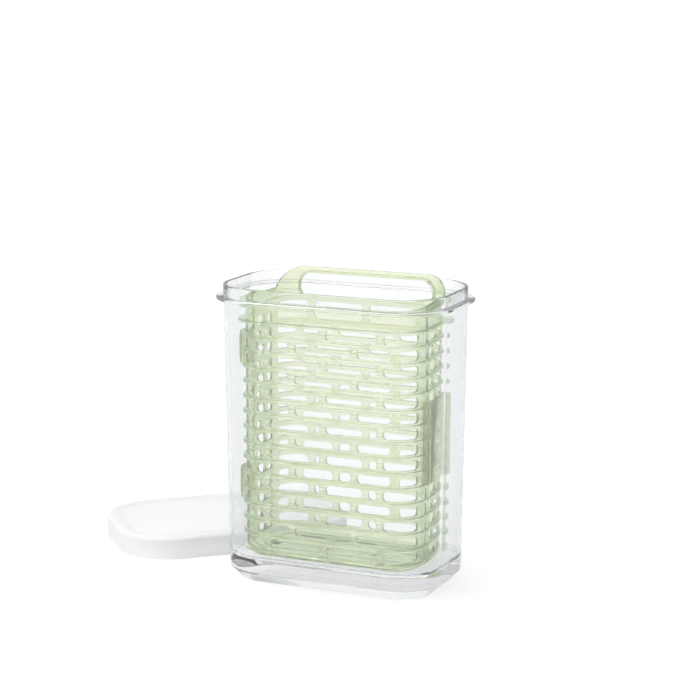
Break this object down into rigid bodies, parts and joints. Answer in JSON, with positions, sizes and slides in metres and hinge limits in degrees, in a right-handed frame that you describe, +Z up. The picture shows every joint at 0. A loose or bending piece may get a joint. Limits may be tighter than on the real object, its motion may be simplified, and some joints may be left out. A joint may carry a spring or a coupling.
{
  "type": "herb keeper",
  "caption": "Tall clear container with a thick base, a loose lid, and a slotted lift-out basket in two halves with a hand hole.",
  "frame": {"origin": "middle of the container's underside, on the surface that it stands on", "axes": "+Z up the container, +X to the right of the long front wall, -Y to the front"},
  "size_m": [0.2935, 0.1977, 0.2103],
  "materials": {
    "clear": "clear, glossy",
    "lid": "milky, satin",
    "basket": "translucent pale green, glossy"
  },
  "bodies": {
    "keeper": {"container": "clear", "lid": "lid"},
    "basket": {"basket_body": "basket", "basket_door": "basket"}
  },
  "joints": [
    {"name": "basket_lift", "type": "slide", "parent": "keeper", "child": "basket", "axis": [0, 0, 1], "range_m": [0, 0.195]}
  ]
}
